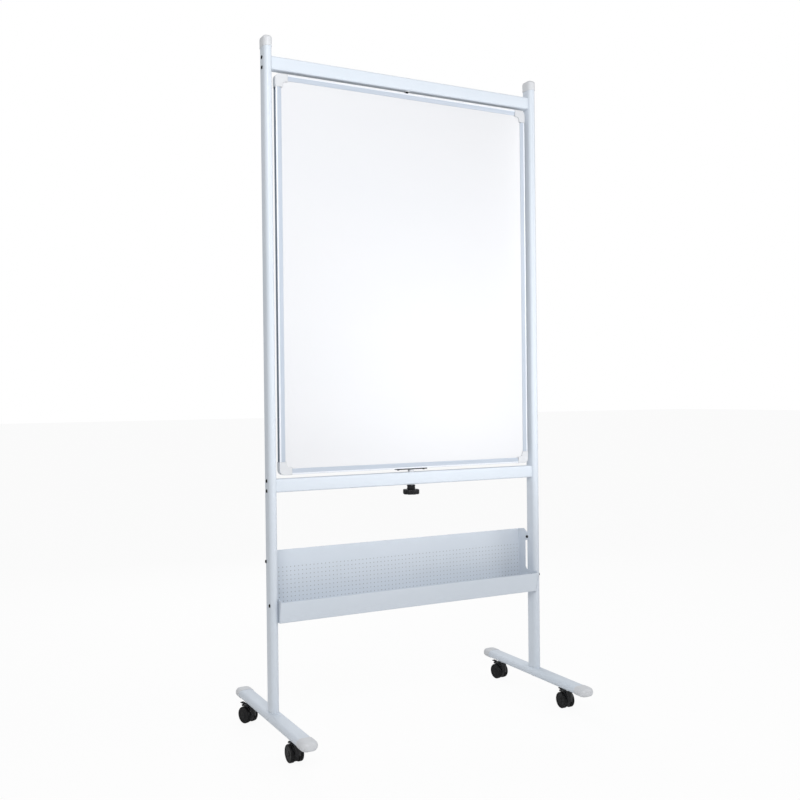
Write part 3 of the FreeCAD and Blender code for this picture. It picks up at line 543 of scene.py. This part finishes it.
def tray():
    """One folded sheet with a grid of round holes in its back. A dark film halfway through each
    hole stands for the shade behind it."""
    low, high = node_box("tray_panel")
    stations, first_cell = tray_line(low, high)
    grid_half = HOLE_COLUMNS * HOLE_PITCH / 2
    lines = [low.x] + [-grid_half + HOLE_PITCH / 2 * k for k in range(2 * HOLE_COLUMNS + 1)]
    lines.append(high.x)
    bm = bmesh.new()

    def corner_rows(which):
        return [[bm.verts.new((x, s[which].x, s[which].y)) for x in lines] for s in stations]

    def hole(i, j, which):
        """Ring of points round the middle of the cell that starts at station i, line j."""
        a, b = stations[i][which], stations[i + 2][which]
        middle, up = (a + b) / 2, (b - a).normalized()
        x = (lines[j] + lines[j + 2]) / 2
        ring = []
        for k in range(HOLE_SIDES):
            angle = math.radians(225 + 360 * k / HOLE_SIDES)
            p = middle + up * (HOLE_R * math.sin(angle))
            ring.append(bm.verts.new((x + HOLE_R * math.cos(angle), p.x, p.y)))
        return ring

    skins = [corner_rows(0), corner_rows(1)]
    last_cell = first_cell + 2 * HOLE_ROWS
    for i in range(len(stations) - 1):
        for j in range(len(lines) - 1):
            pierced = first_cell <= i < last_cell and 1 <= j < len(lines) - 2
            if not pierced:
                for rows in skins:
                    bm.faces.new((rows[i][j], rows[i][j + 1], rows[i + 1][j + 1], rows[i + 1][j]))
            elif (i - first_cell) % 2 == 0 and (j - 1) % 2 == 0:
                rings = [hole(i, j, which) for which in (0, 1)]
                for rows, ring in zip(skins, rings):
                    rim = [rows[i][j], rows[i][j + 1], rows[i][j + 2], rows[i + 1][j + 2],
                           rows[i + 2][j + 2], rows[i + 2][j + 1], rows[i + 2][j], rows[i + 1][j]]
                    for k in range(8):
                        inner = [ring[(2 * k + m) % HOLE_SIDES] for m in (2, 1, 0)]
                        bm.faces.new([rim[k], rim[(k + 1) % 8]] + inner)
                film = [bm.verts.new((a.co + b.co) / 2) for a, b in zip(*rings)]
                bm.faces.new(film).material_index = 1
                for ring in rings:
                    for k in range(HOLE_SIDES):
                        n = (k + 1) % HOLE_SIDES
                        bm.faces.new((ring[k], ring[n], film[n], film[k]))
    outer, inner = skins
    for rows_end in (0, -1):
        for j in range(len(lines) - 1):
            bm.faces.new((outer[rows_end][j], outer[rows_end][j + 1],
                          inner[rows_end][j + 1], inner[rows_end][j]))
    for end in (0, -1):
        for i in range(len(stations) - 1):
            bm.faces.new((outer[i][end], outer[i + 1][end], inner[i + 1][end], inner[i][end]))
    panel = piece("tray_panel.perforated", bm, "stand", "powder_coat", replaces=["tray_panel"],
                  sharp=20)
    panel.data.materials.append(MATERIALS["hole_shade"])


# ---------------------------------------------------------------- board frame

# Width of the flat rim, out to which the rim's painted highlight goes.
RIM = 5.1 * MM                 # just over the flat rim's width
# Half-width of the band along the outer side that gets the groove's painted shade.
GROOVE_HALF = 7.3 * MM         # just over half the groove's width


def frame_member(node):
    """Frame profile: flat rim painted lighter as a painted highlight, sloping face, and a groove along its outer
    side painted dark as painted shade.
    """
    low, high = node_box(node)
    level = high.x - low.x > high.z - low.z
    outer = {"frame_left": low.x, "frame_right": high.x,
             "frame_top": high.z, "frame_bottom": low.z}[node]

    def paint(middle):
        inwards = abs(outer - (middle.z if level else middle.x))
        # Faces in the groove get the painted shade.
        if 0.01 * MM < inwards < RIM and abs(middle.y) < GROOVE_HALF:
            return "frame_groove_painted_shade"
        # The flat rim gets the painted highlight.
        if inwards < RIM:
            return "frame_rim_painted_highlight"
        return "frame_aluminium_level" if level else "frame_aluminium"

    softened(node, "board", 0.35 * MM, paint=paint)


# ---------------------------------------------------------------- clamp

def lobed(radius, lobes, depth, steps):
    """Outline of a fluted wheel: round lobes with hollows between them."""
    points = []
    for k in range(steps):
        a = 2 * math.pi * k / steps
        wave = 0.5 - 0.5 * math.cos(lobes * a)
        r = radius - depth * wave ** 1.6
        points.append((r * math.cos(a), r * math.sin(a)))
    return points


KNOB_LOBES = 8
KNOB_FLUTE = 4.2 * MM
KNOB_STEPS = 96


def clamp_knob():
    """Fluted wheel round its insert, with a recess in its top and a flat disc below."""
    low, high = node_box("clamp_knob")
    radius = (high.x - low.x) / 2
    insert_low, insert_high = node_box("knob_insert")
    socket = (insert_high.x - insert_low.x) / 2
    top = [(socket, insert_low.z), (socket, high.z), (socket + 4 * MM, high.z),
           (socket + 5 * MM, high.z - 1.2 * MM)]
    flutes = [(radius - 2.6 * MM, high.z - 1.4 * MM), (radius - 0.9 * MM, high.z - 2.1 * MM),
              (radius, high.z - 3.8 * MM), (radius, low.z + 4.0 * MM),
              (radius - 0.9 * MM, low.z + 2.0 * MM), (radius - 3.0 * MM, low.z + 0.9 * MM)]
    disc = [(radius * 0.62, low.z + 0.7 * MM), (radius * 0.55, low.z + (high.z - low.z) * 0.08),
            (radius * 0.50, low.z), (radius * 0.12, low.z)]
    rings = [lift(circle(r, KNOB_STEPS), z) for r, z in top]
    rings += [lift(lobed(r, KNOB_LOBES, KNOB_FLUTE, KNOB_STEPS), z) for r, z in flutes]
    rings += [lift(circle(r, KNOB_STEPS), z) for r, z in disc]
    bm = bmesh.new()
    loft(bm, rings)
    piece("clamp_knob.fluted", bm, "knob", "black_plastic", replaces=["clamp_knob"], sharp=40)


SLEEVE_BORE_R = 5.3 * MM


def clamp_sleeve():
    """Turned sleeve with a waist between two rims."""
    low, high = node_box("clamp_sleeve")
    r = (high.x - low.x) / 2
    bore = SLEEVE_BORE_R
    profile = [(bore, low.z), (r - 1.0 * MM, low.z), (r, low.z + 1.0 * MM),
               (r, low.z + 3.0 * MM), (r - 0.8 * MM, low.z + 3.6 * MM),
               (r - 0.8 * MM, high.z - 3.6 * MM), (r, high.z - 3.0 * MM), (r, high.z - 1.0 * MM),
               (r - 1.0 * MM, high.z), (bore, high.z)]
    bm = bmesh.new()
    loft(bm, [lift(circle(radius, 64), z) for radius, z in profile], loop=True)
    piece("clamp_sleeve.turned", bm, "sleeve", "black_plastic", replaces=["clamp_sleeve"])


# ---------------------------------------------------------------- casters

WHEEL_R = 26.0 * MM
WHEEL_WIDTH = 14.0 * MM
WHEEL_INNER = 6.0 * MM         # from the caster's middle plane to the wheel's inner face
WHEEL_ROUND = 3.0 * MM
HUB_R = 8.0 * MM
AXLE_BORE = 4.05 * MM
AXLE_STOP = 2.5 * MM           # from the end of the axle's hole to the wheel's outer face
GROOVE_DEPTH = 0.45 * MM


def caster_wheel(caster, which):
    """Moulded wheel with a grooved tread, a dished face and a raised hub."""
    node = "%s_wheel_%s" % (caster, which)
    spin = joint(node + "_spin")
    outwards = Vector(spin["axis"]) * (1 if which == "b" else -1)
    r, w, e = WHEEL_R, WHEEL_WIDTH, WHEEL_ROUND
    turns = [math.radians(15 * k) for k in range(7)]
    profile = [(AXLE_BORE, w - AXLE_STOP), (AXLE_BORE, 0)]
    profile += [(r - e + e * math.sin(a), e - e * math.cos(a)) for a in turns]
    for groove in (0.4 * w, 0.6 * w):
        profile += [(r, groove - 0.5 * MM), (r - GROOVE_DEPTH, groove - 0.15 * MM),
                    (r - GROOVE_DEPTH, groove + 0.15 * MM), (r, groove + 0.5 * MM)]
    profile += [(r - e + e * math.cos(a), w - e + e * math.sin(a)) for a in turns]
    profile += [(r - 4.6 * MM, w), (r - 5.6 * MM, w - 1.2 * MM), (HUB_R + 4.0 * MM, w - 1.5 * MM),
                (HUB_R + 1.0 * MM, w - 1.3 * MM), (HUB_R, w - 0.2 * MM), (HUB_R - 0.6 * MM, w),
                (HUB_R * 0.5, w - 0.1 * MM), (HUB_R * 0.42, w - 0.6 * MM), (1.0 * MM, w - 0.7 * MM)]
    bm = bmesh.new()
    loft(bm, [lift(circle(radius, 72), z + WHEEL_INNER) for radius, z in profile])
    move(bm, along(outwards, spin["pos_m"]))
    piece(node + ".moulded", bm, node + "_body", "wheel_black", replaces=[node], sharp=28)


def caster(name):
    for which in "ab":
        caster_wheel(name, which)
    softened(name + "_hood", name + "_caster", 0.55 * MM)
    softened(name + "_brake_lever", name + "_brake", 0.5 * MM)


# ---------------------------------------------------------------- studio

AMBIENT = 0.53                 # sky light on the object; the background itself shows white
FLOOR_LIFT = 0.93              # how far the floor is lifted to white where it is seen
FLOOR_REACH = 40.0
FLOOR_DEPTH = 0.02
# name, place, what it aims at, watts, side in metres, whether it shows in reflections
LAMPS = [("key", (-1.3, -2.2, 2.3), (0, 0, 1.6), 43.0, 1.5, True),
         ("fill", (2.9, -2.2, 2.2), (0.3, 0, 1.7), 33.0, 1.5, True),
         ("lift", (0.2, -0.8, 1.0), (0, 0, 2.1), 5.0, 1.0, False),
         ("back", (0.6, 2.6, 2.1), (0, 0, 1.4), 44.0, 1.8, False)]


def studio():
    """Pale floor, even sky and soft lamps."""
    studio_floor()
    studio_sky()
    for name, place, target, power, size, reflected in LAMPS:
        light = bpy.data.lights.new(name, "AREA")
        light.energy = power
        light.size = size
        lamp = bpy.data.objects.new(name, light)
        aim = Vector(target) - Vector(place)
        lamp.rotation_euler = aim.to_track_quat("-Z", "Y").to_euler()
        lamp.location = place
        lamp.visible_camera = False
        lamp.visible_glossy = reflected
        bpy.context.collection.objects.link(lamp)
    bpy.context.scene.view_settings.view_transform = "Standard"


def studio_floor():
    bm = bmesh.new()
    r = FLOOR_REACH
    section = ((-r, -FLOOR_DEPTH), (r, -FLOOR_DEPTH), (r, 0), (-r, 0))
    loft(bm, [[Vector((x, y, z)) for x, z in section] for y in (-r, r)])
    mesh = bpy.data.meshes.new("floor")
    bm.to_mesh(mesh)
    bm.free()
    floor = bpy.data.objects.new("floor", mesh)
    bpy.context.collection.objects.link(floor)
    t = Tree("studio_floor")
    tone = t.ramp(t.noise(0.7), 0.3, 0.7, 0.0, 1.0)
    base = t.mix(tone, rgba((0.78, 0.78, 0.78)), rgba((0.75, 0.75, 0.75)))
    t.put(t.shader.inputs["Base Color"], base)
    t.shader.inputs["Roughness"].default_value = 0.7
    lift_share = t.add("ShaderNodeMath", {1: FLOOR_LIFT}, operation="MULTIPLY")
    t.put(lift_share.inputs[0], t.add("ShaderNodeLightPath").outputs["Is Camera Ray"])
    white = t.add("ShaderNodeEmission", {"Color": rgba((1, 1, 1)), "Strength": 1.0})
    paper = t.add("ShaderNodeMixShader", {"Fac": lift_share.outputs[0]})
    t.put(paper.inputs[1], t.shader.outputs[0])
    t.put(paper.inputs[2], white.outputs[0])
    t.put(t.tree.nodes["Material Output"].inputs["Surface"], paper.outputs[0])
    mesh.materials.append(t.material)


def studio_sky():
    world = bpy.data.worlds.new("studio")
    world.use_nodes = True
    nodes, links = world.node_tree.nodes, world.node_tree.links
    nodes["Background"].inputs["Color"].default_value = rgba((1, 1, 1))
    strength = nodes.new("ShaderNodeMapRange")
    strength.inputs["To Min"].default_value = AMBIENT
    strength.inputs["To Max"].default_value = 1.0
    links.new(nodes.new("ShaderNodeLightPath").outputs["Is Camera Ray"], strength.inputs["Value"])
    links.new(strength.outputs["Result"], nodes["Background"].inputs["Strength"])
    bpy.context.scene.world = world


CAMERA_PLACE = (-1.4597, -2.7031, 1.0364)
CAMERA_YAW, CAMERA_PITCH, CAMERA_ROLL = 27.759, -0.328, -0.622
LENS, SENSOR = 42.99, 36.0     # mm


def camera():
    """Camera turned by yaw to the right of +Y, then tilted, then rolled."""
    yaw, pitch, roll = (math.radians(v) for v in (CAMERA_YAW, CAMERA_PITCH, CAMERA_ROLL))
    forward = Vector((math.sin(yaw) * math.cos(pitch), math.cos(yaw) * math.cos(pitch),
                      math.sin(pitch)))
    level = Vector((math.cos(yaw), -math.sin(yaw), 0))
    up = level.cross(forward)
    right = level * math.cos(roll) + up * math.sin(roll)
    up = up * math.cos(roll) - level * math.sin(roll)
    data = bpy.data.cameras.new("camera")
    data.sensor_width = SENSOR
    data.lens = LENS
    data.clip_end = 100.0
    obj = bpy.data.objects.new("camera", data)
    turn = Matrix((right, up, -forward)).transposed().to_4x4()
    obj.matrix_world = Matrix.Translation(Vector(CAMERA_PLACE)) @ turn
    bpy.context.collection.objects.link(obj)
    bpy.context.scene.camera = obj


# ---------------------------------------------------------------- build

def main():
    for node, obj in frame["nodes"].items():
        for slot in obj.material_slots:
            slot.material = MATERIALS[SLOT_OF[node]]
    for name in SIDES:
        oval_tube(name + "_upright", True)
        oval_tube(name + "_foot", False)
        softened(name + "_tray_bracket", "stand", 0.3 * MM)
    for node in ("top_rail", "lower_rail"):
        rail(node)
    upright_caps()
    foot_caps()
    stand_screws()
    tray()
    for node in ("frame_left", "frame_right", "frame_top", "frame_bottom"):
        frame_member(node)
    softened("frame_corners", "board", 1.6 * MM, 4)
    softened("clamp_plate", "board", 0.4 * MM)
    softened("spacer_washer", "board", 0.5 * MM)
    clamp_knob()
    clamp_sleeve()
    for name in CASTERS:
        caster(name)
    studio()
    camera()


main()
